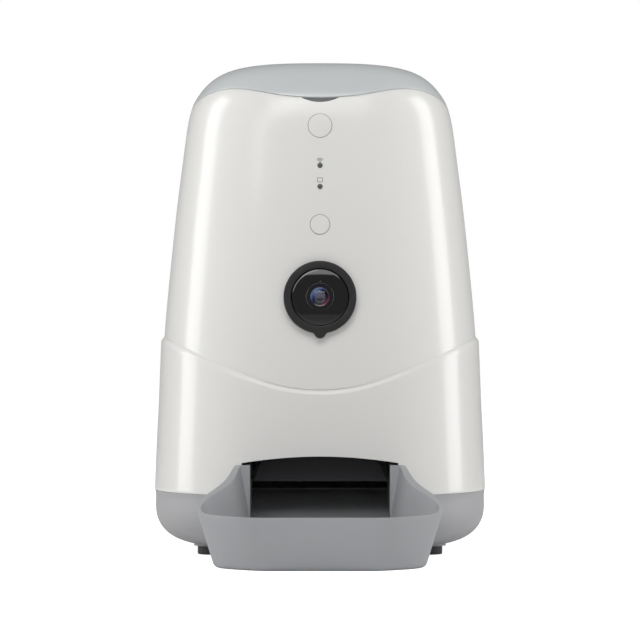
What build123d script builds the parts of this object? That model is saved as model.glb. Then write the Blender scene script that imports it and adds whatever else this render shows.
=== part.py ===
from build123d import *
import math
import os

# Automatic pet feeder with a camera: a rounded-square tower that holds kibble, a rear-hinged
# lid, a vane wheel that meters portions, and a removable tray in front.
# Millimetres, +Z up, front towards -Y. Everything is modelled about the tower's own axis and
# saved moved back by BODY_Y, so that the origin is the middle of the whole footprint on the table.

# ---- driving dimensions -------------------------------------------------------------------
SECTION_POWER = 2.6          # superellipse power of the tower's horizontal section
WALL = 2.4                   # upper casing and lid
LOWER_WALL = 4.2             # lower casing, flush inside with the upper one
BASE_TOP = 43.9              # where the white casing meets the grey base
BASE_BOTTOM = 4.6            # underside of the base
BASE_HALF = 117.0
BASE_FLAT_HALF = 57.0        # flat part of the underside
BASE_CURVE = 3.4             # superellipse power of the base's turned-under edge
BASE_WALL = 3.0
GAP = 0.15                   # parting gap between fixed shells

# (height, half width) of the tower's outer surface, from under the step to the top of the lid
TOWER = [(60, 114.6), (100, 112.9), (150, 110.4), (200, 105.9), (250, 100.5), (285, 96.0),
         (305, 92.9), (315, 89.8), (324, 84.2), (331, 77.5), (336.5, 68.5), (340.2, 56.0),
         (342.0, 40.0), (342.7, 18.0)]
LOWER = [(BASE_TOP, 117.1), (75, 115.8), (110, 114.1), (146, 112.7), (170, 111.6)]

# parting curves seen from the front, (x, z), each symmetric about the middle
LID_EDGE = [(0, 314.2), (30, 316.6), (60, 321.8), (80, 318.4), (92, 310.0), (106, 292.0)]
SEAM = [(0, 115.1), (28, 118.3), (60, 129.0), (95, 143.6), (122, 154.8)]
BEVEL_DROP = 2.8
BEVEL_DEPTH = 1.8

HINGE_Y = 94.2
HINGE_Z = 316.0
KNUCKLE_R = 3.6
PIN_R = 1.5
RUN_GAP = 0.05               # radial running clearance of pins and shafts

NOTCH_R = 26.8               # finger notch at the front of the casing
NOTCH_FLOOR = 310.8

FEED_BUTTON = (294.5, 8.0)   # height, radius
CALL_BUTTON = (227.0, 6.6)
BUTTON_GAP = 0.3
BUTTON_THICK = 3.0
BOARD_FRONT = -84.4          # front face of the control board
LIGHTS = (267.2, 252.8)
LIGHT_R = 1.7

CAMERA_Z = 177.4
CAMERA_TILT = 5.9            # degrees that the casing leans back there
RING_R = 24.6
WINDOW_R = 19.4
LENS_R = 9.2
HEAD_R = 21.5                # barrel of the camera head, behind the ring
HEAD_GAP = 0.3

MOUTH_HALF = 52.8            # front mouth in the casing, for the tray
MOUTH_SIDE_Z = 65.8
MOUTH_TOP_Z = 70.5

TRAY_WALL = 2.8
TRAY_FRONT = -202.0
TRAY_TOP = 64.5
CHANNEL_HALF = 50.0          # outside of the tray's rear channel
CHANNEL_BOTTOM = 8.2
CHANNEL_BACK = -40.0
CHANNEL_FRONT = -111.5

DRUM_Y = -15.0               # axis of the vane wheel
DRUM_R = 50.0
DRUM_FLOOR = 110.0
DRUM_TOP = 150.0
DECK_Z = 92.0
DECK_THICK = 2.5
GEAR_Z = 97.0
GEAR_THICK = 7.0
MODULE = 1.5
WHEEL_TEETH = 32
PINION_TEETH = 16
SHAFT_R = 4.0

FOOT_X = 75.0
FOOT_Y = 50.0
FOOT_R = 10.0
FOOT_SPOTS = [(x, y) for x in (-FOOT_X, FOOT_X) for y in (-FOOT_Y, FOOT_Y)]
LID_SPOTS = [(x, y) for x in (-55, 55) for y in (-40, 40)]

BODY_Y = (-TRAY_FRONT - BASE_HALF) / 2


# ---- helpers ------------------------------------------------------------------------------
def save(name, shape):
    moved = Pos(0, BODY_Y, 0) * shape
    moved.label = name
    export_step(moved, f"parts/{name}.step")


def group(shapes):
    return Compound(children=list(shapes))


def squircle(half, z, power=SECTION_POWER):
    """Horizontal superellipse of a given half width."""
    steps = 32
    points = []
    for i in range(steps):
        t = 2 * math.pi * i / steps
        c, s = math.cos(t), math.sin(t)
        points.append((half * math.copysign(abs(c) ** (2 / power), c),
                       half * math.copysign(abs(s) ** (2 / power), s), z))
    return make_face(Spline(*points, periodic=True))


def tower(profile):
    """Smooth closed solid through superellipses at (height, half width)."""
    return loft([squircle(half, z) for z, half in profile])


def inset(profile, wall):
    """The profile moved inwards by the wall thickness, square to its slope."""
    moved = []
    last = len(profile) - 1
    for i, (z, half) in enumerate(profile):
        z0, h0 = profile[max(i - 1, 0)]
        z1, h1 = profile[min(i + 1, last)]
        run = math.hypot(z1 - z0, h1 - h0)
        moved.append((z + wall * (h1 - h0) / run, half - wall * (z1 - z0) / run))
    return moved


def straight(half, z0, z1):
    """Upright superellipse block."""
    return extrude(squircle(half, z0), z1 - z0)


def mirrored(points):
    return [(-x, z) for x, z in reversed(points[1:])] + list(points)


def under(curve, lift=0.0, floor=-20.0):
    """Everything below a front-view curve, right through the tower."""
    points = [(x, z + lift) for x, z in mirrored(curve)]
    edge = Spline(*points)
    left, right = points[0], points[-1]
    sides = Polyline(right, (130, right[1]), (130, floor), (-130, floor), (-130, left[1]), left)
    return extrude(Plane.XZ * make_face(edge + sides), 150, both=True)


def box(x, y, z):
    """Box between pairs of limits."""
    return Pos((x[0] + x[1]) / 2, (y[0] + y[1]) / 2, (z[0] + z[1]) / 2) * Box(
        x[1] - x[0], y[1] - y[0], z[1] - z[0])


def rod(radius, z0, z1, x=0.0, y=0.0):
    return Pos(x, y, (z0 + z1) / 2) * Cylinder(radius, z1 - z0)


def cross_rod(radius, x0, x1, y, z):
    """Cylinder along X."""
    return Pos((x0 + x1) / 2, y, z) * Rot(0, 90, 0) * Cylinder(radius, x1 - x0)


def front_rod(radius, z, y0, y1, x=0.0):
    """Cylinder along Y."""
    return Pos(x, (y0 + y1) / 2, z) * Rot(90, 0, 0) * Cylinder(radius, y1 - y0)


# ---- outer forms --------------------------------------------------------------------------
OUTER = tower(TOWER)
INNER = tower(inset(TOWER, WALL))
BELOW_LID = under(LID_EDGE)
BELOW_SEAM = under(SEAM)
CAMERA_PLANE = Plane(origin=(0, -107.9, CAMERA_Z), x_dir=(1, 0, 0),
                     z_dir=(0, -math.cos(math.radians(CAMERA_TILT)),
                            math.sin(math.radians(CAMERA_TILT))))


def knuckles(starts, length, web):
    """Hinge knuckles on the common rear axis, each with its web, bored for the pin."""
    made = None
    for x in starts:
        one = cross_rod(KNUCKLE_R, x, x + length, HINGE_Y, HINGE_Z) + box((x, x + length), *web)
        made = one if made is None else made + one
    return made


LID_KNUCKLES = (-20.0, 10.5)
CASE_KNUCKLES = (-30.0, -4.75, 20.5)
KNUCKLE_LENGTH = 9.5
HINGE_BORE = cross_rod(PIN_R + RUN_GAP, -60, 60, HINGE_Y, HINGE_Z)


def knuckle_room(starts):
    """Clearance for the other side's knuckles, turned about the hinge axis."""
    made = None
    for x in starts:
        one = cross_rod(KNUCKLE_R + 0.6, x - 0.5, x + KNUCKLE_LENGTH + 0.5, HINGE_Y, HINGE_Z)
        made = one if made is None else made + one
    return made


def make_lid():
    shell = OUTER - INNER - BELOW_LID - knuckle_room(CASE_KNUCKLES)
    tongue = box((-9.3, 9.3), (-88.0, -86.0), (310.4, 319.0)) & INNER
    bosses = [rod(3.5, 304.2, 338.0, x, y) & INNER for x, y in LID_SPOTS]
    web = ((HINGE_Y - 8.5, HINGE_Y), (HINGE_Z, HINGE_Z + KNUCKLE_R))
    lid = shell + tongue + knuckles(LID_KNUCKLES, KNUCKLE_LENGTH, web) + bosses
    lid -= [rod(1.3, 300, 318, x, y) for x, y in LID_SPOTS]
    return lid - HINGE_BORE


def make_upper_casing():
    block = (OUTER & under(LID_EDGE, -GAP)) - under(SEAM, GAP)
    block -= front_rod(NOTCH_R, NOTCH_FLOOR + NOTCH_R, -100, -80)
    block -= knuckle_room(LID_KNUCKLES)
    for z, radius in (FEED_BUTTON, CALL_BUTTON):
        block -= front_rod(radius + BUTTON_GAP, z, -120, -60)
    for z in LIGHTS:
        block -= front_rod(LIGHT_R + 0.05, z, -120, -60)
    block -= CAMERA_PLANE * Cylinder(HEAD_R + HEAD_GAP, 60)
    web = ((HINGE_Y - 7.0, HINGE_Y), (HINGE_Z - 9.0, HINGE_Z - 2.4))
    block += knuckles(CASE_KNUCKLES, KNUCKLE_LENGTH, web)
    return block - INNER - HINGE_BORE


def mouth(margin=0.0):
    """The front mouth: upright sides under a shallow arch."""
    half = MOUTH_HALF + margin
    left, right = (-half, MOUTH_SIDE_Z + margin), (half, MOUTH_SIDE_Z + margin)
    arch = ThreePointArc(left, (0, MOUTH_TOP_Z + margin), right)
    sides = Polyline(right, (half, BASE_BOTTOM + BASE_WALL + 0.1),
                     (-half, BASE_BOTTOM + BASE_WALL + 0.1), left)
    return Pos(0, -60, 0) * extrude(Plane.XZ * make_face(arch + sides), 80)


def make_lower_casing():
    full = tower(LOWER)
    inside = tower([(z, half - LOWER_WALL) for z, half in LOWER])
    shell = (full & BELOW_SEAM) - inside
    outside_edges = [e for e in shell.edges()
                     if e.center().Z > 112 and abs(e.bounding_box().size.X) > 224.9]
    bevelled = None
    try:
        bevelled = chamfer(outside_edges, BEVEL_DROP, BEVEL_DEPTH)
    except Exception as problem:
        print("bevel by chamfer failed:", problem, len(outside_edges))
    shell = shell if bevelled is None else bevelled
    grille = [box((x - 1.2, x + 1.2), (100, 125), (84, 108)) for x in range(-18, 19, 6)]
    shell -= mouth()
    for slot in grille:
        shell -= slot
    return shell


def base_profile(wall=0.0):
    points = []
    for step in range(0, 7):
        t = math.radians(15 * step)
        reach = math.sin(t) ** (2 / BASE_CURVE)
        rise = math.cos(t) ** (2 / BASE_CURVE)
        half = BASE_FLAT_HALF + (BASE_HALF - BASE_FLAT_HALF - wall) * reach
        z = BASE_TOP - GAP - (BASE_TOP - GAP - BASE_BOTTOM - wall) * rise
        points.append((z, half))
    return points


def base_form(wall):
    """The base's outer form, or the hollow inside it."""
    return tower(base_profile(wall)) & box((-130, 130), (-130, 130), (BASE_BOTTOM + wall, 60))


def make_base():
    base = base_form(0.0) - base_form(BASE_WALL) - mouth()
    base += [rod(FOOT_R + 2.5, 6.0, 12.0, x, y) for x, y in FOOT_SPOTS]
    base -= [rod(FOOT_R, -1, 8.0, x, y) for x, y in FOOT_SPOTS]
    base -= [rod(3.7, 7.5, 10.05, x, y) for x, y in FOOT_SPOTS]
    base -= [rod(1.9, 10.0, 13.0, x, y) for x, y in FOOT_SPOTS]
    base -= box((-42, 42), (6, 72), (0, 12))
    # the battery door's track runs out through the rear of the underside, with a thicker
    # floor above it
    base += box((-46, 46), (80.2, 110), (6.5, 9.4)) & base_form(0.0)
    base -= box((-44.5, 44.5), (4.5, 130), (BASE_BOTTOM + 0.9, BASE_BOTTOM + 2.3))
    base -= box((-42, 42), (70, 130), (0, BASE_BOTTOM + 1.2))
    base -= INLET_HOLE
    return base


INLET_Z = 24.0
INLET_HOLE = Pos(0, 108, INLET_Z) * Rot(90, 0, 0) * extrude(SlotOverall(11.4, 5.6), 30, both=True)


def make_usb_inlet():
    body = box((-4.8, 4.8), (103.0, 114.6), (INLET_Z - 1.9, INLET_Z + 1.9))
    socket = Pos(0, 112, INLET_Z) * Rot(90, 0, 0) * extrude(SlotOverall(8.9, 3.2), 7, both=True)
    tongue = box((-3.3, 3.3), (104.0, 112.5), (INLET_Z - 0.35, INLET_Z + 0.35))
    return (body - socket) + tongue


def make_battery_door():
    plate = box((-44.2, 44.2), (6.3, 75.7), (BASE_BOTTOM + 1.05, BASE_BOTTOM + 2.15))
    cover = box((-41.7, 41.7), (6.3, 71.7), (BASE_BOTTOM, BASE_BOTTOM + 1.1))
    door = plate + cover
    for y in (16, 20, 24):
        door -= box((-12, 12), (y, y + 1.6), (BASE_BOTTOM - 1, BASE_BOTTOM + 0.6))
    return door


def make_battery_box():
    outside = box((-52, 52), (2, 80), (BASE_BOTTOM, 43)) & base_form(BASE_WALL)
    return outside - box((-50, 50), (4, 78), (0, 41))


# ---- tray ---------------------------------------------------------------------------------
def tray_outline(half, front, neck, inset_by, z):
    """Plan of the tray's basin: a neck at the casing that flares to a rounded, bowed front."""
    half -= inset_by
    front += inset_by
    neck -= inset_by
    back = CHANNEL_FRONT - inset_by
    right = [(neck, back), (neck + 0.45 * (half - neck), back - 22), (half, -158)]
    flare = Spline(*right, tangents=[(0.2, -1), (0.12, -1)])
    corner = Spline((half, -158), (half - 7.5, -178), (half * 0.66, front + 4.2), (0, front),
                    tangents=[(0.0, -1), (-1, 0)])
    half_edge = flare + corner
    whole = half_edge + mirror(half_edge, Plane.YZ) + Line((neck, back), (-neck, back))
    return Pos(0, 0, z) * make_face(whole)


RIM_SIDE = [(-111.5, 64.5), (-113.5, 64.3), (-128, 55.4), (-141, 46.8), (-152, 41.0), (-165, 36.8),
            (-182, 35.2), (-203, 34.7)]


def above_rim():
    """Everything above the tray's rim line, seen from the side as (y, z)."""
    rim = Spline(*RIM_SIDE)
    sides = Polyline(RIM_SIDE[-1], (-215, 34.7), (-215, 90), (-111.5, 90), RIM_SIDE[0])
    return extrude(Plane.YZ * make_face(rim + sides), 120, both=True)


def make_tray():
    outside = loft([tray_outline(69.5, -194.0, 46.0, 0, 0.0),
                    tray_outline(80.5, TRAY_FRONT, 51.4, 0, 36.0),
                    tray_outline(88.0, -207.0, 57.0, 0, 66.0)], ruled=True)
    inside = loft([tray_outline(69.5, -194.0, 46.0, TRAY_WALL, 2.8),
                   tray_outline(80.5, TRAY_FRONT, 51.4, TRAY_WALL, 36.0),
                   tray_outline(88.0, -207.0, 57.0, TRAY_WALL, 67.0)], ruled=True)
    basin = outside - inside - above_rim()
    bottom = [e for e in basin.edges() if e.center().Z < 0.01 and e.bounding_box().min.Y < -112]
    try:
        basin = fillet(bottom, 4.0)
    except Exception as problem:
        print("tray bottom fillet failed:", problem)
    basin -= box((-CHANNEL_HALF + TRAY_WALL, CHANNEL_HALF - TRAY_WALL),
                 (CHANNEL_FRONT - 4, CHANNEL_FRONT + 1), (2.8, 90))
    basin += [box((side * 48.6 - 1.4, side * 48.6 + 1.4), (CHANNEL_FRONT - 2.8, CHANNEL_FRONT),
                  (CHANNEL_BOTTOM, TRAY_TOP)) for side in (-1, 1)]
    channel = box((-CHANNEL_HALF, CHANNEL_HALF), (CHANNEL_FRONT - 2.8, CHANNEL_BACK),
                  (CHANNEL_BOTTOM, TRAY_TOP))
    channel -= box((-CHANNEL_HALF + TRAY_WALL, CHANNEL_HALF - TRAY_WALL),
                   (CHANNEL_FRONT - 4, CHANNEL_BACK + 1), (CHANNEL_BOTTOM - 1, TRAY_TOP + 1))
    toe, heel = -150.0, CHANNEL_BACK
    ramp_points = [(toe, 2.0), (toe, 2.8), (heel, 44.0), (heel, 41.4), (CHANNEL_FRONT + 3, 8.2),
                   (CHANNEL_FRONT - 2.8, 2.0)]
    ramp_face = make_face(Polyline(*ramp_points, close=True))
    inner_half = CHANNEL_HALF - TRAY_WALL
    ramp = extrude(Plane.YZ * ramp_face, inner_half + 0.5, both=True)
    return basin + channel + ramp


# ---- controls and camera ------------------------------------------------------------------
SKIN = OUTER - tower(inset(TOWER, BUTTON_THICK))


def make_button(z, radius):
    cap = SKIN & front_rod(radius, z, -125, -60)
    stem = front_rod(2.0, z, cap.bounding_box().min.Y + 2.2, BOARD_FRONT - 3.0)
    return cap + stem


def make_light_pipes():
    return group([(SKIN & front_rod(LIGHT_R, z, -125, -60)) for z in LIGHTS])


def on_camera(shape, out=0.0):
    """Places a shape modelled about +Z, facing forwards out of the casing."""
    return CAMERA_PLANE * Pos(0, 0, out) * shape


def make_camera_ring():
    tab = Pos(0, -RING_R + 0.6, 0) * Circle(3.9)
    outline = Circle(RING_R) + tab
    outline = fillet(outline.vertices(), 3.0) if outline.vertices() else outline
    ring = extrude(outline, 3.4) - Cylinder(WINDOW_R + 0.1, 20)
    front = [e for e in ring.edges() if e.center().Z > 3.39]
    try:
        ring = fillet(front, 0.8)
    except Exception as problem:
        print("camera ring fillet failed:", problem)
    sleeve = Pos(0, 0, -9.0) * Cylinder(HEAD_R, 18.2) - Cylinder(WINDOW_R + 0.1, 60)
    return on_camera(ring + sleeve, 0.9)


def make_camera_window():
    rise = 2.2
    ball_r = (WINDOW_R ** 2 + rise ** 2) / (2 * rise)
    dome = Cylinder(WINDOW_R, 12) & (Pos(0, 0, 2.0 + rise - ball_r) * Sphere(ball_r))
    dome -= Pos(0, 0, -6) * Cylinder(WINDOW_R + 1, 12)
    return on_camera(dome - Cylinder(LENS_R + 0.1, 30) - Pos(0, 11.2, 0) * Cylinder(0.5, 30), 0.9)


def make_lens_barrel():
    barrel = Pos(0, 0, -5.0) * Cylinder(LENS_R, 19.0)
    barrel -= Pos(0, 0, 4.3) * Cylinder(LENS_R - 0.7, 1.2)
    step = Pos(0, 0, 3.9) * (Cylinder(7.4, 1.4) - Cylinder(6.4, 2))
    barrel -= Pos(0, 0, 2.2) * Cylinder(6.4, 4.0)
    return on_camera(barrel + step, 0.9)


def make_lens_glass():
    cap = Cylinder(6.3, 12) & (Pos(0, 0, 4.0 - 11.0) * Sphere(11.0))
    return on_camera(cap - Pos(0, 0, -5.8) * Cylinder(8, 12), 0.9)


def make_camera_board():
    board = Pos(0, 0, -16.0) * Cylinder(18.8, 1.6)
    chip = Pos(0, 0, -15.0) * Box(9, 9, 1.0)
    return on_camera(board + chip, 0.9)


# ---- hopper, lid internals ----------------------------------------------------------------
HOPPER_TOP = 309.3
HOPPER_FLAT = 80.0           # the hopper's front is flat, clear of the board behind the buttons


def flat_front(shape, depth):
    """Cuts a shape off flat in front."""
    return shape & box((-150, 150), (-depth, 150), (-10, 400))


def hopper_form(shrink):
    upper = [squircle(half - shrink, z) for z, half in
             ((HOPPER_TOP + shrink * 0.5, 88.2), (284, 88.6), (262, 86.5))]
    lower = [Pos(0, DRUM_Y, z) * Circle(radius - shrink)
             for z, radius in ((DRUM_TOP + 8, DRUM_R + 4.4), (DRUM_TOP - shrink * 0.5, DRUM_R + 2.4))]
    form = loft(upper) + loft([upper[-1], lower[0]]) + loft(lower)
    return flat_front(form, HOPPER_FLAT - shrink)


def make_hopper():
    return hopper_form(0) - hopper_form(2.0)


def make_lid_liner():
    dish = flat_front(straight(82.0, 302.0, 314.0), 73.8)
    dish -= flat_front(straight(78.4, 304.2, 320.0), 70.2)
    groove = flat_front(straight(90.0, 306.0, 309.0), 90.0)
    dish -= groove - flat_front(straight(80.6, 305.0, 310.0), 72.4)
    dish -= [rod(1.7, 300, 306, x, y) for x, y in LID_SPOTS]
    return dish - rod(26.0, 300, 306)


def make_lid_gasket():
    ring = flat_front(straight(82.6, 306.05, 308.95), 74.2)
    return ring - flat_front(straight(80.65, 305.0, 310.0), 72.45)


def make_desiccant_cup():
    cup = rod(30.0, 304.25, 306.25) - rod(24.0, 303, 308)
    cup += rod(25.8, 302.0, 322.0) - rod(24.0, 300.0, 320.0)
    return cup


def make_desiccant_cap():
    cap = rod(23.8, 300.0, 303.2)
    cap += box((-10, 10), (-1.2, 1.2), (296.5, 300.1))
    for x in (-15, -7.5, 7.5, 15):
        cap -= box((x - 1.0, x + 1.0), (-16 + abs(x) * 0.4, -3), (299, 304))
        cap -= box((x - 1.0, x + 1.0), (3, 16 - abs(x) * 0.4), (299, 304))
    return cap


def make_lid_screws():
    one = rod(3.0, 299.9, 302.0) + rod(1.3, 301.9, 314.0)
    one -= box((-2.0, 2.0), (-0.4, 0.4), (299.0, 300.7))
    return group([Pos(x, y, 0) * one for x, y in LID_SPOTS])


# ---- dispenser ----------------------------------------------------------------------------
def involute(alpha):
    return math.tan(alpha) - alpha


def spur_gear(teeth, turn, thick, backlash=0.35):
    """Involute spur gear; turn is the angle of one tooth's middle."""
    pitch_r = MODULE * teeth / 2
    base_r = pitch_r * math.cos(math.radians(20))
    tip_r = pitch_r + 0.9 * MODULE
    root_r = pitch_r - 1.2 * MODULE
    half_tooth = math.pi / (2 * teeth) - backlash / (2 * pitch_r) + involute(math.radians(20))
    low_r = max(base_r, root_r + 0.2)
    points = []
    for tooth in range(teeth):
        middle = turn + 2 * math.pi * tooth / teeth
        flank = []
        for step in range(4):
            r = low_r + (tip_r - low_r) * step / 3
            flank.append((r, half_tooth - involute(math.acos(base_r / r))))
        root = (root_r, flank[0][1] + 0.3 * MODULE / pitch_r)
        left = [root] + flank
        for r, a in left:
            points.append((r * math.cos(middle - a), r * math.sin(middle - a)))
        for r, a in reversed(left):
            points.append((r * math.cos(middle + a), r * math.sin(middle + a)))
    return extrude(make_face(Polyline(*points, close=True)), thick)


PINION_Y = DRUM_Y + MODULE * (WHEEL_TEETH + PINION_TEETH) / 2


def make_drive_gear():
    toward = math.radians(90)
    gear = Pos(0, DRUM_Y, GEAR_Z) * spur_gear(WHEEL_TEETH, toward, GEAR_THICK)
    return gear - rod(SHAFT_R, 90, 112, 0, DRUM_Y)


def make_motor_pinion():
    gap_facing = math.radians(-90) + math.pi / PINION_TEETH
    gear = Pos(0, PINION_Y, GEAR_Z) * spur_gear(PINION_TEETH, gap_facing, GEAR_THICK)
    return gear - rod(2.5, 90, 112, 0, PINION_Y)


def make_gear_motor():
    can = rod(18.0, 48.0, 80.0, 0, PINION_Y) + rod(20.0, 80.0, DECK_Z - 0.1, 0, PINION_Y)
    return can + rod(4.4, DECK_Z - 0.2, DECK_Z + DECK_THICK, 0, PINION_Y)


def make_motor_shaft():
    return rod(2.5, DECK_Z + DECK_THICK + 0.1, GEAR_Z + GEAR_THICK + 1.0, 0, PINION_Y)


def make_rotor():
    hub = rod(11.0, DRUM_FLOOR + 2.6, 136.0, 0, DRUM_Y)
    vanes = None
    for i in range(6):
        vane = box((9.0, DRUM_R - 1.2), (-1.2, 1.2), (DRUM_FLOOR + 2.6, 134.0))
        vane = Pos(0, DRUM_Y, 0) * Rot(0, 0, 60 * i + 30) * vane
        vanes = vane if vanes is None else vanes + vane
    shaft = rod(SHAFT_R, GEAR_Z - 2.0, DRUM_FLOOR + 3.0, 0, DRUM_Y)
    return hub + vanes + shaft


def make_agitator():
    cone = Pos(0, DRUM_Y, 147.05) * Cone(11.0, 4.0, 22.0)
    arm = Pos(0, DRUM_Y, 152.0) * Rot(0, 0, 20) * Rot(0, 90, 0) * Cylinder(2.2, 48)
    return cone + arm


def drop_hole(margin=0.0):
    return box((-18 - margin, 18 + margin), (-62 - margin, -42 + margin), (60, 140))


def make_drum():
    wall = rod(DRUM_R + 2.4, DECK_Z + DECK_THICK, DRUM_TOP, 0, DRUM_Y)
    wall -= rod(DRUM_R, DECK_Z, DRUM_TOP + 1, 0, DRUM_Y)
    floor = rod(DRUM_R + 1, DRUM_FLOOR, DRUM_FLOOR + 2.0, 0, DRUM_Y)
    floor -= rod(SHAFT_R + RUN_GAP, 100, 120, 0, DRUM_Y)
    collar = rod(7.0, DRUM_FLOOR - 3.0, DRUM_FLOOR + 0.1, 0, DRUM_Y)
    collar -= rod(SHAFT_R + RUN_GAP, 100, 120, 0, DRUM_Y)
    return wall - chute_tube(2.0, 53.0, DRUM_FLOOR) + (floor - drop_hole()) + collar


def make_portion_guard():
    """Fixed roof over the drop hole, so that only what a vane carries round falls."""
    disc = rod(DRUM_R - 0.2, 137.0, 139.2, 0, DRUM_Y) - rod(13.0, 130, 145, 0, DRUM_Y)
    wedge = make_face(Polyline((0, DRUM_Y), (-62, DRUM_Y - 46), (62, DRUM_Y - 46), close=True))
    return disc & (Pos(0, 0, 130) * extrude(wedge, 15))


def chute_tube(grow, z0, z1):
    top = Pos(0, -52, z1) * Rectangle(40 + 2 * grow, 20 + 2 * grow)
    low = Pos(0, -69, z0) * Rectangle(87.0 + 2 * grow, 50 + 2 * grow)
    return loft([low, top])


def make_chute():
    return chute_tube(1.8, 53.0, DRUM_FLOOR) - chute_tube(0.0, 52.9, DRUM_FLOOR + 0.1)


def make_deck():
    deck = straight(100.0, DECK_Z, DECK_Z + DECK_THICK)
    deck += [rod(6.0, 12.0, DECK_Z + 0.1, x, y) for x, y in FOOT_SPOTS]
    deck -= [rod(1.3, 0, 30, x, y) for x, y in FOOT_SPOTS]
    deck -= chute_tube(1.85, 53.0, DRUM_FLOOR)
    deck -= box((-22, 22), (87, 101), (DECK_Z - 1, DECK_Z + 5))
    return deck - rod(4.5, DECK_Z - 5, DECK_Z + 5, 0, PINION_Y)


def make_base_screws():
    one = rod(3.4, 8.1, 10.0) + rod(1.3, 9.9, 27.0)
    one -= box((-2.4, 2.4), (-0.4, 0.4), (7.0, 8.8))
    return group([Pos(x, y, 0) * one for x, y in FOOT_SPOTS])


def make_feet():
    foot = rod(FOOT_R, 0.0, 8.0)
    foot = fillet(foot.edges().group_by(Axis.Z)[0], 0.8)
    return group([Pos(x, y, 0) * foot for x, y in FOOT_SPOTS])


# ---- electronics --------------------------------------------------------------------------
def make_control_board():
    board = box((-15, 15), (BOARD_FRONT, BOARD_FRONT + 1.6), (218, 303))
    for z, _ in (FEED_BUTTON, CALL_BUTTON):
        board += box((-3, 3), (BOARD_FRONT - 1.6, BOARD_FRONT + 0.1), (z - 3, z + 3))
    for z in (222, 282):
        for x in (-11, 11):
            board += front_rod(2.0, z, BOARD_FRONT + 1.5, -HOPPER_FLAT, x)
    return board


def make_main_board():
    board = box((-45, 45), (84, 85.6), (DECK_Z + DECK_THICK, 150))
    board += box((-12, 12), (81.5, 84.1), (120, 140))
    return board + box((18, 34), (78, 84.1), (108, 118))


def make_speaker():
    cone = Pos(0, 103, 96) * Rot(90, 0, 0) * Cylinder(19.0, 5.0)
    magnet = Pos(0, 96, 96) * Rot(90, 0, 0) * Cylinder(11.0, 9.2)
    return cone + magnet


PARTS = {
    "lid": make_lid,
    "lid_liner": make_lid_liner,
    "lid_gasket": make_lid_gasket,
    "lid_screws": make_lid_screws,
    "lid_hinge_pin": lambda: cross_rod(PIN_R, -30.6, 30.6, HINGE_Y, HINGE_Z),
    "desiccant_cup": make_desiccant_cup,
    "desiccant_cap": make_desiccant_cap,
    "upper_casing": make_upper_casing,
    "lower_casing": make_lower_casing,
    "base": make_base,
    "rubber_feet": make_feet,
    "base_screws": make_base_screws,
    "battery_box": make_battery_box,
    "battery_door": make_battery_door,
    "usb_inlet": make_usb_inlet,
    "tray": make_tray,
    "feed_button": lambda: make_button(*FEED_BUTTON),
    "call_button": lambda: make_button(*CALL_BUTTON),
    "light_pipes": make_light_pipes,
    "control_board": make_control_board,
    "camera_ring": make_camera_ring,
    "camera_window": make_camera_window,
    "lens_barrel": make_lens_barrel,
    "lens_glass": make_lens_glass,
    "camera_board": make_camera_board,
    "hopper": make_hopper,
    "dispenser_drum": make_drum,
    "portion_guard": make_portion_guard,
    "vane_wheel": make_rotor,
    "agitator": make_agitator,
    "drive_gear": make_drive_gear,
    "motor_pinion": make_motor_pinion,
    "motor_shaft": make_motor_shaft,
    "gear_motor": make_gear_motor,
    "chute": make_chute,
    "deck": make_deck,
    "main_board": make_main_board,
    "speaker": make_speaker,
}

os.makedirs("parts", exist_ok=True)
for part_name, maker in PARTS.items():
    save(part_name, maker())
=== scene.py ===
"""Automatic pet feeder: outer shells, tray, controls and camera head, laid out as an add-on."""

import math

import bpy
from bpy.props import FloatProperty, FloatVectorProperty, PointerProperty
from mathutils import Euler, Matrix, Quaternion, Vector


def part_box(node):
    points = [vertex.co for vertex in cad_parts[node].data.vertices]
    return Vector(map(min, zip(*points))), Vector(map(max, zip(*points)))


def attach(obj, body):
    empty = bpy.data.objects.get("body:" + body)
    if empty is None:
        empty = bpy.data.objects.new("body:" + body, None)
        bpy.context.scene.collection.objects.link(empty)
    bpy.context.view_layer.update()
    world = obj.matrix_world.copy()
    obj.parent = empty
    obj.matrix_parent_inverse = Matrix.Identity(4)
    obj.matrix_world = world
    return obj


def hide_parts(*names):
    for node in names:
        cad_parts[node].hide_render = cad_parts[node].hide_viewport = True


bl_info = {
    "name": "Pet Feeder",
    "version": (1, 0, 0),
    "blender": (4, 5, 0),
    "location": "3D View > Sidebar > Pet Feeder",
    "description": "Builds the shells, tray, controls and camera head of an automatic pet feeder",
    "category": "Object",
}

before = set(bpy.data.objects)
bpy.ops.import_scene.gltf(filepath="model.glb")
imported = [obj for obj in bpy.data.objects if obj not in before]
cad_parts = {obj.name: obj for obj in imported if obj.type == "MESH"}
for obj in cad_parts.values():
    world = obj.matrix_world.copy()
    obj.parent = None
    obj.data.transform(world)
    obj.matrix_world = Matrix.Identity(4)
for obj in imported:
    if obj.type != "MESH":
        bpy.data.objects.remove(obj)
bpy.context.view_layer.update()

MM = 0.001
CASE_LOW, CASE_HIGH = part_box("lower_casing")
AXIS_Y = (CASE_LOW.y + CASE_HIGH.y) / 2      # the tower's own axis
LENS_TILT = 5.9                              # degrees that the lens axis points up
SECTION_POWER = 2.6                          # superellipse power of its horizontal section

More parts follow.
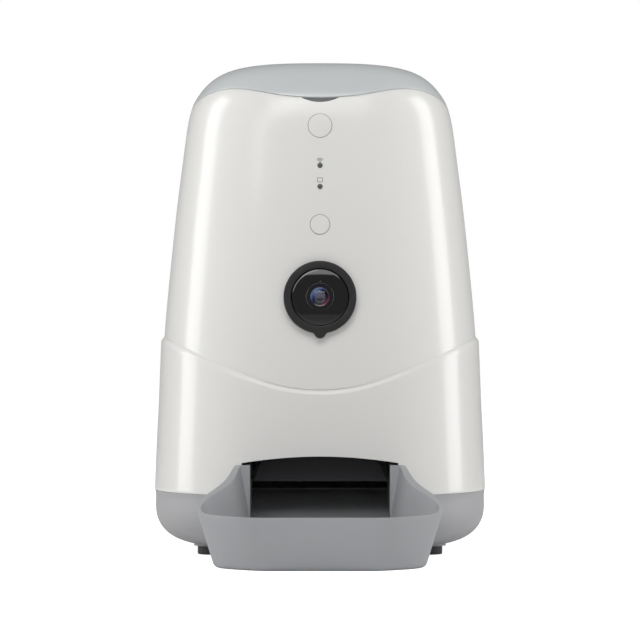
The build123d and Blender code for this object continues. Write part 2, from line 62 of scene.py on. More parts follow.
# the tower's outline, (height, half width) in mm, from inside the lower casing to the lid's top
TOWER = [(60, 114.6), (100, 112.9), (150, 110.4), (200, 105.9), (250, 100.5), (285, 96.0),
         (305, 92.9), (315, 89.8), (324, 84.2), (331, 77.5), (336.5, 68.5), (340.2, 56.0),
         (342.0, 40.0), (342.7, 18.0), (342.8, 0.0)]
LOWER = [(43.9, 117.1), (75, 115.8), (110, 114.1), (146, 112.7), (170, 111.6)]
LID_EDGE = [(0, 314.2), (30, 316.6), (60, 321.8), (80, 318.4), (92, 310.0), (106, 292.0)]
SEAM = [(0, 115.1), (28, 118.3), (60, 129.0), (95, 143.6), (122, 154.8)]

# sizes and places in mm, y about the tower's axis
HINGE_Y, HINGE_Z = 94.2, 316.0
KNUCKLE_R, KNUCKLE_LENGTH = 3.6, 9.5
LID_KNUCKLES = (-20.0, 10.5)                 # where each of the lid's knuckles starts
NOTCH_R, NOTCH_FLOOR = 26.8, 310.8           # finger notch at the front
BUTTON_HOLES = ((294.5, 8.3, -95), (227.0, 6.9, -100))   # height, radius, y
LIGHT_HEIGHTS, LIGHT_HOLE_R = (267.2, 252.8), 1.8
HEAD_HOLE_R = 21.8                           # hole for the camera head
LENS_Y = 107.9                               # the lens axis meets the casing this far forwards
MARK_Y = AXIS_Y - 0.125                      # marks start here, in m, and are laid onto the skin
MOUTH_HALF, MOUTH_SIDE, MOUTH_RISE = 0.0528, 0.0658, 0.0047   # in m
BAND_START = 0.94                            # share of the lower casing's height below its band


# ---- curves -------------------------------------------------------------------------------
def cubic(xs, ys):
    """Natural cubic spline through points, as a function of x."""
    n = len(xs)
    h = [xs[i + 1] - xs[i] for i in range(n - 1)]
    bend, upper = [0.0] * n, [0.0] * n
    for i in range(1, n - 1):
        slope = (ys[i + 1] - ys[i]) / h[i] - (ys[i] - ys[i - 1]) / h[i - 1]
        pivot = 2 * (h[i - 1] + h[i]) - h[i - 1] * upper[i - 1]
        upper[i] = h[i] / pivot
        bend[i] = (6 * slope - h[i - 1] * bend[i - 1]) / pivot
    for i in range(n - 2, 0, -1):
        bend[i] -= upper[i] * bend[i + 1]

    def at(x):
        i = 0
        while i < n - 2 and x > xs[i + 1]:
            i += 1
        a, b = (xs[i + 1] - x) / h[i], (x - xs[i]) / h[i]
        return (a * ys[i] + b * ys[i + 1]
                + ((a ** 3 - a) * bend[i] + (b ** 3 - b) * bend[i + 1]) * h[i] ** 2 / 6)
    return at


def front_curve(points):
    """Height of a parting line over x, the same on both sides of the middle."""
    both = [(-x, z) for x, z in reversed(points[1:])] + points
    return cubic([x for x, _ in both], [z for _, z in both])


def outline(points):
    """An upright outline as (height, half width), for 0 at its foot to 1 at its top."""
    run = [0.0]
    for (z0, h0), (z1, h1) in zip(points, points[1:]):
        run.append(run[-1] + math.hypot(z1 - z0, h1 - h0))
    share = [r / run[-1] for r in run]
    height = cubic(share, [z for z, _ in points])
    half = cubic(share, [h for _, h in points])
    return lambda s: (height(s), max(half(s), 0.0))


def meeting(shape, curve, side):
    """Where an outline meets a parting line, for one direction round the tower."""
    low, high = 0.0, 1.0
    for _ in range(30):
        middle = (low + high) / 2
        z, half = shape(middle)
        if z < curve(half * side):
            low = middle
        else:
            high = middle
    return low


def direction(turn):
    """Unit superellipse point at an angle round the tower."""
    c, s = math.cos(turn), math.sin(turn)
    reach = (abs(c) ** SECTION_POWER + abs(s) ** SECTION_POWER) ** (-1 / SECTION_POWER)
    return c * reach, s * reach


TOWER_SHAPE, LOWER_SHAPE = outline(TOWER), outline(LOWER)
LID_LINE, SEAM_LINE = front_curve(LID_EDGE), front_curve(SEAM)


# ---- modelling ----------------------------------------------------------------------------
def nothing_selected():
    if bpy.context.object and bpy.context.object.mode != "OBJECT":
        bpy.ops.object.mode_set(mode="OBJECT")
    bpy.ops.object.select_all(action="DESELECT")


def only(obj):
    nothing_selected()
    obj.select_set(True)
    bpy.context.view_layer.objects.active = obj


def edit(obj, *steps):
    """Runs edit mode steps with the whole mesh selected."""
    only(obj)
    bpy.ops.object.mode_set(mode="EDIT")
    bpy.ops.mesh.select_all(action="SELECT")
    for step in steps:
        step()
    bpy.ops.object.mode_set(mode="OBJECT")


def weld():
    bpy.ops.mesh.remove_doubles(threshold=0.00002)


def outwards():
    bpy.ops.mesh.normals_make_consistent(inside=False)


def skin(name, columns, rows, place):
    """A closed ring of faces: a grid whose points are set to place(u, v)."""
    nothing_selected()
    bpy.ops.mesh.primitive_grid_add(x_subdivisions=columns, y_subdivisions=rows, size=2)
    obj = bpy.context.object
    obj.name = name
    for vertex in obj.data.vertices:
        vertex.co = place((vertex.co.x + 1) / 2, (vertex.co.y + 1) / 2)
    edit(obj, weld)
    return obj


def ring_skin(name, columns, rows, profile):
    """A skin whose columns each follow profile(side, v), given as height and half width in mm."""
    def place(u, v):
        x, y = direction(2 * math.pi * u)
        z, half = profile(x, v)
        return Vector((x * half * MM, AXIS_Y + y * half * MM, z * MM))
    return skin(name, columns, rows, place)


def modify(obj, kind, **settings):
    """Adds a modifier with its settings and applies it."""
    only(obj)
    modifier = obj.modifiers.new(kind.title(), kind)
    for key, value in settings.items():
        setattr(modifier, key, value)
    bpy.ops.object.modifier_apply(modifier=modifier.name)


def soften(obj, width, angle=35, segments=2):
    modify(obj, "BEVEL", width=width * MM, segments=segments, limit_method="ANGLE",
           angle_limit=math.radians(angle), use_clamp_overlap=True)


def smooth(obj, angle=32):
    only(obj)
    bpy.ops.object.shade_smooth_by_angle(angle=math.radians(angle))


def cut(obj, *tools):
    """Takes the tools' shapes out of a piece, and removes the tools."""
    for tool in tools:
        modify(obj, "BOOLEAN", operation="DIFFERENCE", object=tool, solver="EXACT")
        bpy.data.objects.remove(tool)


def front_cylinder(radius, depth, x, y, z, tilt=0.0, vertices=96):
    """A cylinder along Y, in mm about the tower's axis, leaning back by tilt degrees."""
    nothing_selected()
    bpy.ops.mesh.primitive_cylinder_add(
        radius=radius * MM, depth=depth * MM, vertices=vertices,
        location=(x * MM, AXIS_Y + y * MM, z * MM),
        rotation=(math.radians(90 - tilt), 0, 0))
    bpy.ops.object.transform_apply(location=True, rotation=True, scale=True)
    return bpy.context.object


def block(width, depth, height, x, y, z):
    """A box of a size, in mm about the tower's axis."""
    nothing_selected()
    bpy.ops.mesh.primitive_cube_add(size=1, location=(x * MM, AXIS_Y + y * MM, z * MM),
                                    scale=(width * MM, depth * MM, height * MM))
    bpy.ops.object.transform_apply(location=True, rotation=True, scale=True)
    return bpy.context.object


def traced(node, name):
    """A welded copy of a CAD node, to be refined into a piece of its own."""
    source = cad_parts[node]
    copy = bpy.data.objects.new(name, source.data.copy())
    bpy.context.scene.collection.objects.link(copy)
    copy.data.materials.clear()
    edit(copy, weld)
    return copy


def finished(obj, name, body, slot, material, *nodes):
    """Names a finished piece, gives it its finish and hangs it on its body."""
    obj.name = name
    obj.data.name = name
    obj.data.materials.clear()
    obj.data.materials.append(material)
    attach(obj, body)
    if nodes:
        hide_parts(*nodes)


# ---- finishes -----------------------------------------------------------------------------
def colour(text):
    """sRGB hex to linear."""
    parts = [int(text[i:i + 2], 16) / 255 for i in (1, 3, 5)]
    return [p / 12.92 if p <= 0.04045 else ((p + 0.055) / 1.055) ** 2.4 for p in parts] + [1.0]


def node(tree, kind, links=None, **settings):
    """Adds a node with its settings, and links sockets given as {input: other socket}."""
    made = tree.nodes.new(kind)
    for key, value in settings.items():
        if key in made.inputs:
            made.inputs[key].default_value = value
        else:
            setattr(made, key, value)
    for key, socket in (links or {}).items():
        tree.links.new(socket, made.inputs[key])
    return made


def plastic(name, tint, rough, grain_mm, bump_mm, mottle=0.04, coat=0.0, rough_spread=0.05,
            transmission=0.0, metallic=0.0, ior=1.49):
    """Moulded or formed material with a grain of a real size, and a slight drift in its colour."""
    material = bpy.data.materials.new(name)
    material.use_nodes = True
    tree = material.node_tree
    shader = next(n for n in tree.nodes if n.type == "BSDF_PRINCIPLED")
    base = colour(tint)
    place = node(tree, "ShaderNodeTexCoord").outputs["Object"]
    drift = node(tree, "ShaderNodeTexNoise", {"Vector": place}, Scale=14.0, Detail=3.0)
    dark = [c * (1 - mottle) for c in base[:3]] + [1.0]
    ramp = node(tree, "ShaderNodeValToRGB", {"Fac": drift.outputs["Fac"]})
    ramp.color_ramp.elements[0].position, ramp.color_ramp.elements[1].position = 0.3, 0.7
    ramp.color_ramp.elements[0].color, ramp.color_ramp.elements[1].color = dark, base
    tree.links.new(ramp.outputs["Color"], shader.inputs["Base Color"])
    grain = node(tree, "ShaderNodeTexNoise", {"Vector": place}, Scale=1000.0 / grain_mm, Detail=4.0)
    spread = node(tree, "ShaderNodeMapRange", {"Value": grain.outputs["Fac"]})
    spread.inputs["From Min"].default_value, spread.inputs["From Max"].default_value = 0.3, 0.7
    spread.inputs["To Min"].default_value = max(rough - rough_spread, 0.02)
    spread.inputs["To Max"].default_value = rough + rough_spread
    tree.links.new(spread.outputs["Result"], shader.inputs["Roughness"])
    bump = node(tree, "ShaderNodeBump", {"Height": grain.outputs["Fac"]}, Distance=bump_mm * MM,
                Strength=0.6 if bump_mm > 0.003 else 0.1)
    tree.links.new(bump.outputs["Normal"], shader.inputs["Normal"])
    shader.inputs["IOR"].default_value = ior
    shader.inputs["Metallic"].default_value = metallic
    shader.inputs["Coat Weight"].default_value = coat
    shader.inputs["Transmission Weight"].default_value = transmission
    return material


def glass_with_painted_reflection(name):
    """Inner glass with a painted reflection: its colour runs by place from light blue at the upper
    left through dark blue, near black and dark purple to magenta at the lower right, an
    anti-reflection coating's sheen painted into the colour.
    """
    material = bpy.data.materials.new(name)
    material.use_nodes = True
    tree = material.node_tree
    shader = next(n for n in tree.nodes if n.type == "BSDF_PRINCIPLED")
    place = node(tree, "ShaderNodeTexCoord").outputs["Object"]
    # painted reflection: the coating's sheen is laid across the glass by place, light blue at the
    # upper left to magenta at the lower right
    centre = node(tree, "ShaderNodeMapping", {"Vector": place}, vector_type="POINT")
    centre.inputs["Location"].default_value = (0.0, 0.0, -0.1778)
    across = node(tree, "ShaderNodeSeparateXYZ", {"Vector": centre.outputs["Vector"]})
    reflection_slant = node(tree, "ShaderNodeMath", {0: across.outputs["X"], 1: across.outputs["Z"]},
                 operation="SUBTRACT")
    share = node(tree, "ShaderNodeMapRange", {"Value": reflection_slant.outputs[0]})
    share.inputs["From Min"].default_value, share.inputs["From Max"].default_value = -0.009, 0.009
    ramp = node(tree, "ShaderNodeValToRGB", {"Fac": share.outputs["Result"]})
    stops = ramp.color_ramp.elements
    stops[0].position, stops[0].color = 0.12, colour("#7FA0D8")
    stops[1].position, stops[1].color = 0.95, colour("#8A2A55")
    for position, tint in ((0.32, "#2A3F8C"), (0.5, "#10142E"), (0.68, "#2C1230")):
        stop = stops.new(position)
        stop.color = colour(tint)
    tree.links.new(ramp.outputs["Color"], shader.inputs["Base Color"])
    shader.inputs["Roughness"].default_value = 0.15
    shader.inputs["Coat Weight"].default_value = 1.0
    shader.inputs["Coat Roughness"].default_value = 0.03
    return material


def clear_glass(name):
    """Ground and polished optical glass: all gloss and no colour of its own."""
    material = bpy.data.materials.new(name)
    material.use_nodes = True
    shader = next(n for n in material.node_tree.nodes if n.type == "BSDF_PRINCIPLED")
    shader.inputs["Base Color"].default_value = (0.9, 0.93, 1.0, 1.0)
    shader.inputs["Roughness"].default_value = 0.02
    shader.inputs["IOR"].default_value = 1.5
    shader.inputs["Transmission Weight"].default_value = 1.0
    return material


FINISHES = {}


def finish_of(key):
    """The finish of that name, made the first time that it is asked for."""
    if key not in FINISHES:
        FINISHES[key] = RECIPES[key]()
    return FINISHES[key]


RECIPES = {
    # injection-moulded ABS, polished tool: clear highlights and almost no grain
    "white ABS": lambda: plastic("Polished white ABS", "#EDECE9", 0.27, 2.0, 0.0002, 0.003, 0.25,
                                 0.001),
    # the lid's ABS, tinted: glossier, so the sky of the studio shows along its shoulder
    "lid ABS": lambda: plastic("Polished grey ABS", "#CDD1D2", 0.24, 2.0, 0.0002, 0.003, 0.3,
                               0.001),
    # moulded against a spark-eroded tool: fine even grit that spreads the light
    "base PP": lambda: plastic("Grained grey polypropylene", "#B0B0B2", 0.52, 0.7, 0.03, 0.03),
    "tray PP": lambda: plastic("Grained tray polypropylene", "#AAACAF", 0.50, 0.7, 0.03, 0.03),
    "button ABS": lambda: plastic("Satin button ABS", "#EBEAE7", 0.34, 1.0, 0.01, 0.02, 0.1),
    "tab ABS": lambda: plastic("Satin dark grey ABS", "#77797A", 0.45, 0.8, 0.01, 0.04),
    "black ABS": lambda: plastic("Gloss black ABS", "#050506", 0.06, 2.0, 0.0003, 0.0, 0.5, 0.004),
    "bezel ABS": lambda: plastic("Satin charcoal ABS", "#202020", 0.45, 0.8, 0.01, 0.08),
    # the speaker's own dark colour, and painted shade on the chute: its dark colour stands in for
    # the shade deep inside the mouth
    "speaker black and chute shade": lambda: plastic("Matt dark ABS, speaker colour and painted chute shade", "#48484B", 0.6, 0.8, 0.02, 0.1),
    "inner ABS": lambda: plastic("Unpolished inner ABS", "#CFCFCB", 0.5, 0.9, 0.02, 0.05),
    "acetal": lambda: plastic("Natural acetal", "#DDD9CC", 0.4, 1.5, 0.01, 0.04),
    "rubber": lambda: plastic("Moulded silicone rubber", "#4E4F50", 0.75, 0.6, 0.03, 0.12),
    "vane rubber": lambda: plastic("Soft vane silicone", "#8C9A9E", 0.6, 0.8, 0.02, 0.08),
    "board": lambda: plastic("Fibreglass circuit board", "#12502E", 0.35, 0.9, 0.015, 0.2, 0.3),
    "steel": lambda: plastic("Nickel-plated steel", "#B9B8B4", 0.3, 0.5, 0.004, 0.05, 0, 0.08,
                             metallic=1.0, ior=1.5),
    "light lens": lambda: plastic("Smoked light lens", "#5A5D5D", 0.3, 0.8, 0.005, 0.03, 0.3),
    "print ink": lambda: plastic("Grey pad-print ink", "#8A8B8C", 0.5, 0.5, 0.002, 0.05),
    "ring alloy": lambda: plastic("Turned dark alloy", "#A9ACB0", 0.35, 0.5, 0.003, 0.03, 0, 0.05,
                                  metallic=1.0, ior=1.5),
    # the cone's colour is a painted reflection of a lens coating, not a colour of its own
    "lens painted reflection": lambda: glass_with_painted_reflection("Inner glass with painted reflection"),
    "lens clear": lambda: clear_glass("Clear objective glass"),
}

CARRIED = {
    "lid_liner": "inner ABS", "lid_gasket": "rubber", "lid_screws": "steel",
    "lid_hinge_pin": "steel", "desiccant_cup": "inner ABS", "desiccant_cap": "bezel ABS",
    "rubber_feet": "rubber", "base_screws": "steel", "battery_box": "inner ABS",
    "battery_door": "base PP", "usb_inlet": "steel", "control_board": "board",
    "camera_board": "board", "hopper": "inner ABS", "dispenser_drum": "inner ABS",
    "portion_guard": "inner ABS", "vane_wheel": "vane rubber", "agitator": "acetal",
    "drive_gear": "acetal", "motor_pinion": "acetal", "motor_shaft": "steel",
    # the chute's dark finish is painted shade for the deep mouth; the speaker's is its own colour
    "gear_motor": "steel", "chute": "speaker black and chute shade", "deck": "inner ABS", "main_board": "board",
    "speaker": "speaker black and chute shade", "lens_barrel": "black ABS", "light_pipes": "light lens",
}


# ---- settings -----------------------------------------------------------------------------
class ShellSizes(bpy.types.PropertyGroup):
    """Sizes of the moulded shells"""
    wall: FloatProperty(name="Wall", description="Thickness of the casing and lid, in mm",
                        default=2.3, min=1.0, max=4.0)
    rim: FloatProperty(name="Rim rounding", description="Rounding of the shells' rims, in mm",
                       default=0.5, min=0.1, max=1.0)
    bevel_height: FloatProperty(name="Band height", default=2.9, min=1, max=5,
                                description="Height of the bright band on the seam, in mm")
    bevel_depth: FloatProperty(name="Band depth", default=1.9, min=0.5, max=3,
                               description="How far the band runs in, in mm")


class CameraSizes(bpy.types.PropertyGroup):
    """Sizes of the camera head"""
    height: FloatProperty(name="Height", description="Height of the lens above the table, in mm",
                          default=177.4, min=160, max=200)


class StudioSettings(bpy.types.PropertyGroup):
    """Light of the studio"""
    side_power: FloatProperty(name="Side light", description="Power of each side softbox, in W",
                              default=10.0, min=0, max=500)
    top_power: FloatProperty(name="Top light", description="Power of the overhead softbox, in W",
                             default=2.6, min=0, max=500)
    fill: FloatProperty(name="Fill", description="Strength of the light from all round",
                        default=0.27, min=0, max=2)
    front_power: FloatProperty(name="Front light", description="Power of the far front light, in W",
                               default=4.1, min=0, max=500)
    key_power: FloatProperty(name="Key light", description="Power of the upper left strip, in W",
                             default=3.2, min=0, max=500)
    floor_glow: FloatProperty(name="Floor glow", description="How much the paper shines back",
                              default=0.85, min=0, max=2)
    backdrop: FloatVectorProperty(name="Backdrop", description="Colour of floor and backdrop",
                                  subtype="COLOR", size=3, default=(1.0, 1.0, 1.0))


# ---- pieces -------------------------------------------------------------------------------
class FEEDER_OT_stage(bpy.types.Operator):
    """Sets up the floor, the studio light and the camera"""
    bl_idname = "feeder.stage"
    bl_label = "Stage"

    def softbox(self, name, power, size, place, aim, roll=0.0, shines=True):
        data = bpy.data.lights.new(name, "AREA")
        data.energy, data.shape = power, "RECTANGLE"
        data.size, data.size_y = size
        lamp = bpy.data.objects.new(name, data)
        lamp.location = place
        turn = (Vector(aim) - Vector(place)).to_track_quat("-Z", "Y")
        lamp.rotation_euler = (turn @ Quaternion((0, 0, 1), math.radians(roll))).to_euler()
        lamp.visible_glossy = shines
        bpy.context.scene.collection.objects.link(lamp)

    def execute(self, context):
        settings = context.scene.feeder_studio
        nothing_selected()
        bpy.ops.mesh.primitive_plane_add(size=8.0, location=(0, 1.0, 0))
        bpy.ops.object.transform_apply(location=True, rotation=True, scale=True)
        floor = context.object
        floor.name = "floor"
        paper = bpy.data.materials.new("White studio paper")
        paper.use_nodes = True
        tree = paper.node_tree
        shader = next(n for n in tree.nodes if n.type == "BSDF_PRINCIPLED")
        shader.inputs["Base Color"].default_value = (0.9, 0.9, 0.9, 1.0)
        shader.inputs["Roughness"].default_value = 0.9
        shader.inputs["Emission Color"].default_value = (*settings.backdrop, 1.0)
        seen = node(tree, "ShaderNodeLightPath").outputs["Is Camera Ray"]
        glow = node(tree, "ShaderNodeMath", operation="MULTIPLY")
        glow.inputs[1].default_value = settings.floor_glow
        tree.links.new(seen, glow.inputs[0])
        tree.links.new(glow.outputs[0], shader.inputs["Emission Strength"])
        floor.data.materials.append(paper)
        world = bpy.data.worlds.new("Studio")
        world.use_nodes = True
        tree = world.node_tree
        sky = next(n for n in tree.nodes if n.type == "BACKGROUND")
        sky.inputs["Color"].default_value = (1, 1, 1, 1)
        seen = node(tree, "ShaderNodeLightPath").outputs["Is Camera Ray"]
        level = node(tree, "ShaderNodeMapRange", {"Value": seen})
        level.inputs["To Min"].default_value = settings.fill
        level.inputs["To Max"].default_value = 1.0
        tree.links.new(level.outputs["Result"], sky.inputs["Strength"])
        context.scene.world = world
        for side in (-1, 1):
            self.softbox("side_light", settings.side_power, (0.55, 1.5),
                         (side * 1.35, AXIS_Y + 0.12, 0.55), (0, AXIS_Y, 0.2))
        self.softbox("front_light", settings.front_power, (1.6, 1.0), (0, -2.5, 0.3),
                     (0, AXIS_Y, 0.1), shines=False)
        self.softbox("key_light", settings.key_power, (1.3, 0.34), (-0.62, -1.45, 1.20),
                     (0, AXIS_Y - 0.1, 0.177), 45)
        self.softbox("top_light", settings.top_power, (0.7, 0.5), (0, -0.62, 0.85),
                     (0, AXIS_Y - 0.1, 0.25))
        lens = bpy.data.cameras.new("camera")
        lens.sensor_width, lens.lens, lens.shift_y = 36.0, 157.7, 0.0192
        camera = bpy.data.objects.new("camera", lens)
        camera.location = (0.0, AXIS_Y - 2.0, 0.154)
        camera.rotation_euler = (math.radians(90), 0, 0)
        context.scene.collection.objects.link(camera)
        context.scene.camera = camera
        context.scene.view_settings.view_transform = "Standard"
        return {"FINISHED"}


class FEEDER_OT_lid(bpy.types.Operator):
    """Models the domed lid with its finger tab and hinge knuckles"""
    bl_idname = "feeder.lid"
    bl_label = "Lid"

    def execute(self, context):
        sizes = context.scene.feeder_shells

        def profile(side, v):
            foot = meeting(TOWER_SHAPE, lambda x: LID_LINE(x) + 0.1, side)
            return TOWER_SHAPE(foot + v * (1 - foot))
        lid = ring_skin("lid_cover", 240, 44, profile)
        modify(lid, "SOLIDIFY", thickness=sizes.wall * MM, offset=-1, use_even_offset=True)
        soften(lid, sizes.rim, 50)
        smooth(lid)
        finished(lid, "lid_cover", "lid", "lid_grey", finish_of("lid ABS"), "lid")
        for index, x in enumerate(LID_KNUCKLES):
            knuckle = front_cylinder(KNUCKLE_R, KNUCKLE_LENGTH, 0, 0, 0, vertices=40)
            edit(knuckle, lambda: bpy.ops.transform.rotate(
                value=math.radians(90), orient_axis="Z", center_override=(0, AXIS_Y, 0)))
            edit(knuckle, lambda: bpy.ops.transform.translate(
                value=((x + 4.75) * MM, HINGE_Y * MM, HINGE_Z * MM)))
            web = block(KNUCKLE_LENGTH, 8.0, KNUCKLE_R, x + 4.75, 90.2, 317.8)
            modify(knuckle, "BOOLEAN", operation="UNION", object=web, solver="EXACT")
            bpy.data.objects.remove(web)
            soften(knuckle, 0.3, 50)
            smooth(knuckle)
            finished(knuckle, f"lid_knuckle_{index + 1}", "lid", "lid_grey", finish_of("lid ABS"))
        tab = block(19.0, 2.2, 3.8, 0, -87.9, 311.9)
        stem = block(14.0, 1.4, 8.0, 0, -86.4, 314.2)
        modify(tab, "BOOLEAN", operation="UNION", object=stem, solver="EXACT")
        bpy.data.objects.remove(stem)
        soften(tab, 0.7, 50, 3)
        smooth(tab)
        finished(tab, "finger_tab", "lid", "lid_grey", finish_of("tab ABS"))
        return {"FINISHED"}


class FEEDER_OT_upper_casing(bpy.types.Operator):
    """Models the white upper casing with its notch and openings"""
    bl_idname = "feeder.upper_casing"
    bl_label = "Upper casing"

    def execute(self, context):
        sizes = context.scene.feeder_shells

        def profile(side, v):
            foot = meeting(TOWER_SHAPE, SEAM_LINE, side)
            top = meeting(TOWER_SHAPE, lambda x: LID_LINE(x) - 0.2, side)
            return TOWER_SHAPE(foot + v * (top - foot))
        casing = ring_skin("upper_shell", 320, 90, profile)
        modify(casing, "SOLIDIFY", thickness=sizes.wall * MM, offset=-1, use_even_offset=True)
        soften(casing, sizes.rim, 50)
        camera = context.scene.feeder_camera
        cut(casing,
            front_cylinder(NOTCH_R, 24, 0, -90, NOTCH_FLOOR + NOTCH_R, vertices=192),
            *[front_cylinder(radius, 40, 0, y, z) for z, radius, y in BUTTON_HOLES],
            *[front_cylinder(LIGHT_HOLE_R, 40, 0, -95, z, vertices=40) for z in LIGHT_HEIGHTS],
            front_cylinder(HEAD_HOLE_R, 60, 0, -LENS_Y, camera.height, LENS_TILT))
        smooth(casing)
        finished(casing, "upper_shell", "housing", "white_shell", finish_of("white ABS"),
                 "upper_casing")
        hinge = traced("upper_casing", "case_knuckles")
        edit(hinge, lambda: bpy.ops.mesh.bisect(plane_co=(0, AXIS_Y + 89.5 * MM, 0),
                                                plane_no=(0, 1, 0), clear_inner=True,
                                                use_fill=True))
        edit(hinge, lambda: bpy.ops.mesh.bisect(plane_co=(0, 0, 307.0 * MM), plane_no=(0, 0, 1),
                                                clear_inner=True, use_fill=True))
        smooth(hinge)
        finished(hinge, "case_knuckles", "housing", "white_shell", finish_of("white ABS"))
        return {"FINISHED"}


class FEEDER_OT_lower_casing(bpy.types.Operator):
    """Models the lower casing with its bright band and the tray's mouth"""
    bl_idname = "feeder.lower_casing"
    bl_label = "Lower casing"

    def execute(self, context):
        sizes = context.scene.feeder_shells

        def profile(side, v):
            top = meeting(LOWER_SHAPE, SEAM_LINE, side)
            z, half = LOWER_SHAPE(top)
            if v >= BAND_START:
                share = (v - BAND_START) / (1 - BAND_START)
                drop = sizes.bevel_height * (1 - share)
                return z - drop, half - sizes.bevel_depth * share ** 1.3
            low = meeting(LOWER_SHAPE, lambda x: z - sizes.bevel_height, side)
            return LOWER_SHAPE(v / BAND_START * low)
        casing = ring_skin("lower_shell", 320, 50, profile)
        modify(casing, "SOLIDIFY", thickness=2.4 * MM, offset=-1, use_even_offset=True)
        soften(casing, 0.35, 55)
        mouth = mouth_cutter()
        slots = []
        for x in range(-18, 19, 6):
            slots.append(block(2.4, 25, 24, x, 112.5, 96))
            soften(slots[-1], 1.1, 50, 3)
        cut(casing, mouth, *slots)
        smooth(casing)
        finished(casing, "lower_shell", "housing", "white_shell", finish_of("white ABS"),
                 "lower_casing")
        return {"FINISHED"}


def mouth_cutter():
    """The mouth's cutter: upright sides under a shallow arch, 52.8 mm to each side."""
    nothing_selected()
    bpy.ops.mesh.primitive_cube_add(size=1, location=(0, AXIS_Y - 0.100, 0.035),
                                    scale=(0.1056, 0.080, 0.0622))
    bpy.ops.object.transform_apply(location=True, rotation=True, scale=True)
    cutter = bpy.context.object
    edit(cutter, lambda: bpy.ops.mesh.subdivide(number_cuts=23))
    for vertex in cutter.data.vertices:
        if vertex.co.z > 0.0660:
            vertex.co.z = MOUTH_SIDE + MOUTH_RISE * (1 - (vertex.co.x / MOUTH_HALF) ** 2)
    return cutter


class FEEDER_OT_base(bpy.types.Operator):
    """Models the grained grey base with its turned-under edge"""
    bl_idname = "feeder.base"
    bl_label = "Base"

    def execute(self, context):
        base = traced("base", "base_tub")
        soften(base, 0.4, 50)
        smooth(base, 40)
        finished(base, "base_tub", "housing", "base_grey", finish_of("base PP"), "base")
        return {"FINISHED"}


class FEEDER_OT_tray(bpy.types.Operator):
    """Models the food tray from its CAD form, with softened rims"""
    bl_idname = "feeder.tray"
    bl_label = "Tray"

    def execute(self, context):
        tray = traced("tray", "food_tray")
        soften(tray, 0.7, 38, 3)
        smooth(tray, 40)
        finished(tray, "food_tray", "tray", "tray_grey", finish_of("tray PP"), "tray")
        return {"FINISHED"}


class FEEDER_OT_controls(bpy.types.Operator):
    """Models the two buttons and the printed marks by the lights"""
    bl_idname = "feeder.controls"
    bl_label = "Buttons and marks"

    def button(self, node_name, name, body):
        cap = traced(node_name, name)
        soften(cap, 0.4, 45, 3)
        smooth(cap)
        finished(cap, name, body, "white_shell", finish_of("button ABS"), node_name)

    def on_skin(self, obj, name):
        """Lays a flat mark on the casing's skin."""
        modify(obj, "SHRINKWRAP", target=bpy.data.objects["upper_shell"], offset=0.06 * MM,
               wrap_method="PROJECT", use_project_y=True, use_positive_direction=True)
        finished(obj, name, "housing", "dark_plastic", finish_of("print ink"))

    def arc(self, radius, width, start, stop, z, name):
        def place(u, v):
            turn = math.radians(start + (stop - start) * u)
            reach = radius + (v - 0.5) * width
            return Vector((reach * math.cos(turn) * MM, MARK_Y,
                           (z + reach * math.sin(turn)) * MM))
        self.on_skin(skin(name, 24, 2, place), name)

    def bar(self, x0, x1, z0, z1, name):
        self.on_skin(skin(name, 4, 4, lambda u, v: Vector(
            ((x0 + (x1 - x0) * u) * MM, MARK_Y, (z0 + (z1 - z0) * v) * MM))), name)

    def execute(self, context):
        self.button("feed_button", "feed_key", "feed_button")
        self.button("call_button", "call_key", "call_button")
        for index, radius in enumerate((1.1, 2.0, 2.9)):
            self.arc(radius, 0.45, 42, 138, 269.2, f"signal_arc_{index + 1}")
        self.arc(0.25, 0.45, 0, 360, 269.4, "signal_dot")
        self.bar(-1.9, 1.9, 255.8, 256.2, "level_foot")
        self.bar(-1.9, 1.9, 258.5, 258.9, "level_top")
        self.bar(-1.9, -1.5, 256.2, 258.5, "level_left")
        self.bar(1.5, 1.9, 256.2, 258.5, "level_right")
        return {"FINISHED"}


class FEEDER_OT_camera_head(bpy.types.Operator):
    """Models the camera's ring and domed window"""
    bl_idname = "feeder.camera_head"
    bl_label = "Camera head"

    def execute(self, context):
        for node_name, name, key, slot in (
                ("camera_ring", "camera_bezel", "bezel ABS", "dark_plastic"),
                ("camera_window", "camera_dome", "black ABS", "black_plastic")):
            part = traced(node_name, name)
            soften(part, 0.25, 50)
            smooth(part, 30)
            finished(part, name, "housing", slot, finish_of(key), node_name)
        return {"FINISHED"}


def lens_plane(out):
    """Place of the lens axis, a distance in mm out of the casing along it, with its tilt."""
    lean = math.radians(LENS_TILT)
    return (0.0, AXIS_Y - (LENS_Y + out * math.cos(lean)) * MM,
            (bpy.context.scene.feeder_camera.height + out * math.sin(lean)) * MM), lean


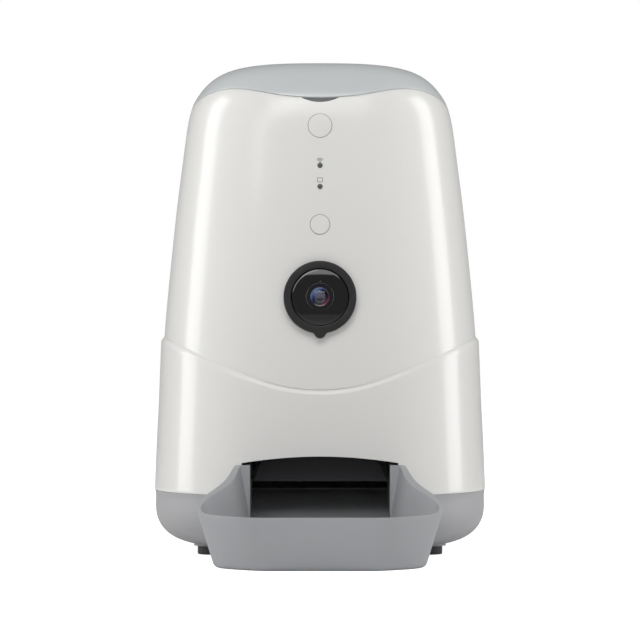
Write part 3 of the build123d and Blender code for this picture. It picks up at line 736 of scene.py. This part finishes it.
class FEEDER_OT_lens(bpy.types.Operator):
    """Models the lens: its bright rings, its stepped cone with a painted reflection and its clear
    objective
    """
    bl_idname = "feeder.lens"
    bl_label = "Lens"

    def ring(self, name, radius, wire, out, key):
        place, lean = lens_plane(out)
        nothing_selected()
        bpy.ops.mesh.primitive_torus_add(
            major_segments=96, minor_segments=16, location=place,
            rotation=(math.radians(90) - lean, 0, 0),
            major_radius=radius * MM, minor_radius=wire * MM)
        bpy.ops.object.transform_apply(location=True, rotation=True, scale=True)
        ring = bpy.context.object
        smooth(ring, 60)
        finished(ring, name, "housing", "black_plastic", finish_of(key))

    def bowl(self, name, steps, key, *nodes):
        """A shape turned about the lens axis through (radius, distance out) steps."""
        place, lean = lens_plane(0.0)
        tilt = Euler((math.radians(90) - lean, 0, 0)).to_matrix()

        def spot(u, v):
            at = v * (len(steps) - 1)
            i = min(int(at), len(steps) - 2)
            share = at - i
            radius, out = (steps[i][k] * (1 - share) + steps[i + 1][k] * share for k in (0, 1))
            turn = 2 * math.pi * u
            local = Vector((radius * math.cos(turn), radius * math.sin(turn), out)) * MM
            return Vector(place) + tilt @ local
        bowl = skin(name, 72, (len(steps) - 1) * 3, spot)
        edit(bowl, outwards)
        smooth(bowl, 30)
        finished(bowl, name, "housing", "lens_glass", finish_of(key), *nodes)

    def execute(self, context):
        self.ring("lens_outer_ring", 9.0, 0.34, 5.45, "ring alloy")
        self.ring("lens_inner_ring", 6.9, 0.50, 5.5, "ring alloy")
        self.ring("lens_stop_ring", 3.3, 0.30, 2.9, "ring alloy")
        self.bowl("lens_cone", ((8.9, 3.3), (8.9, 4.2), (7.0, 4.2), (6.5, 3.8), (3.4, 2.8),
                                (3.2, 2.4), (0.0, 2.4)), "lens painted reflection")
        dome = [(6.4 * math.sin(math.radians(a)) / math.sin(math.radians(40)),
                 3.2 + 1.3 * (math.cos(math.radians(a)) - math.cos(math.radians(40))) / 0.234)
                for a in range(40, -1, -8)]
        self.bowl("objective", dome, "lens clear", "lens_glass")
        return {"FINISHED"}


class FEEDER_OT_carried(bpy.types.Operator):
    """Gives the parts kept from the frame their finishes"""
    bl_idname = "feeder.carried"
    bl_label = "Inner parts"

    def execute(self, context):
        for name, key in CARRIED.items():
            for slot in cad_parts[name].material_slots:
                slot.material = finish_of(key)
        return {"FINISHED"}


class FEEDER_PT_panel(bpy.types.Panel):
    """Lists the feeder's settings and steps"""
    bl_idname = "FEEDER_PT_panel"
    bl_label = "Pet Feeder"
    bl_space_type = "VIEW_3D"
    bl_region_type = "UI"
    bl_category = "Pet Feeder"

    def draw(self, context):
        for group in (context.scene.feeder_shells, context.scene.feeder_camera,
                      context.scene.feeder_studio):
            for key in group.__annotations__:
                self.layout.prop(group, key)
        for step in STEPS:
            self.layout.operator(step.bl_idname)


STEPS = (FEEDER_OT_stage, FEEDER_OT_lid, FEEDER_OT_upper_casing, FEEDER_OT_lower_casing,
         FEEDER_OT_base, FEEDER_OT_tray, FEEDER_OT_controls, FEEDER_OT_camera_head,
         FEEDER_OT_lens, FEEDER_OT_carried)
CLASSES = (ShellSizes, CameraSizes, StudioSettings) + STEPS + (FEEDER_PT_panel,)


def register():
    for each in CLASSES:
        bpy.utils.register_class(each)
    bpy.types.Scene.feeder_shells = PointerProperty(type=ShellSizes)
    bpy.types.Scene.feeder_camera = PointerProperty(type=CameraSizes)
    bpy.types.Scene.feeder_studio = PointerProperty(type=StudioSettings)


def unregister():
    del bpy.types.Scene.feeder_shells, bpy.types.Scene.feeder_camera
    del bpy.types.Scene.feeder_studio
    for each in reversed(CLASSES):
        bpy.utils.unregister_class(each)


def main():
    register()
    bpy.ops.feeder.stage()
    bpy.ops.feeder.lid()
    bpy.ops.feeder.upper_casing()
    bpy.ops.feeder.lower_casing()
    bpy.ops.feeder.base()
    bpy.ops.feeder.tray()
    bpy.ops.feeder.controls()
    bpy.ops.feeder.camera_head()
    bpy.ops.feeder.lens()
    bpy.ops.feeder.carried()
    nothing_selected()


if __name__ == "__main__":
    main()
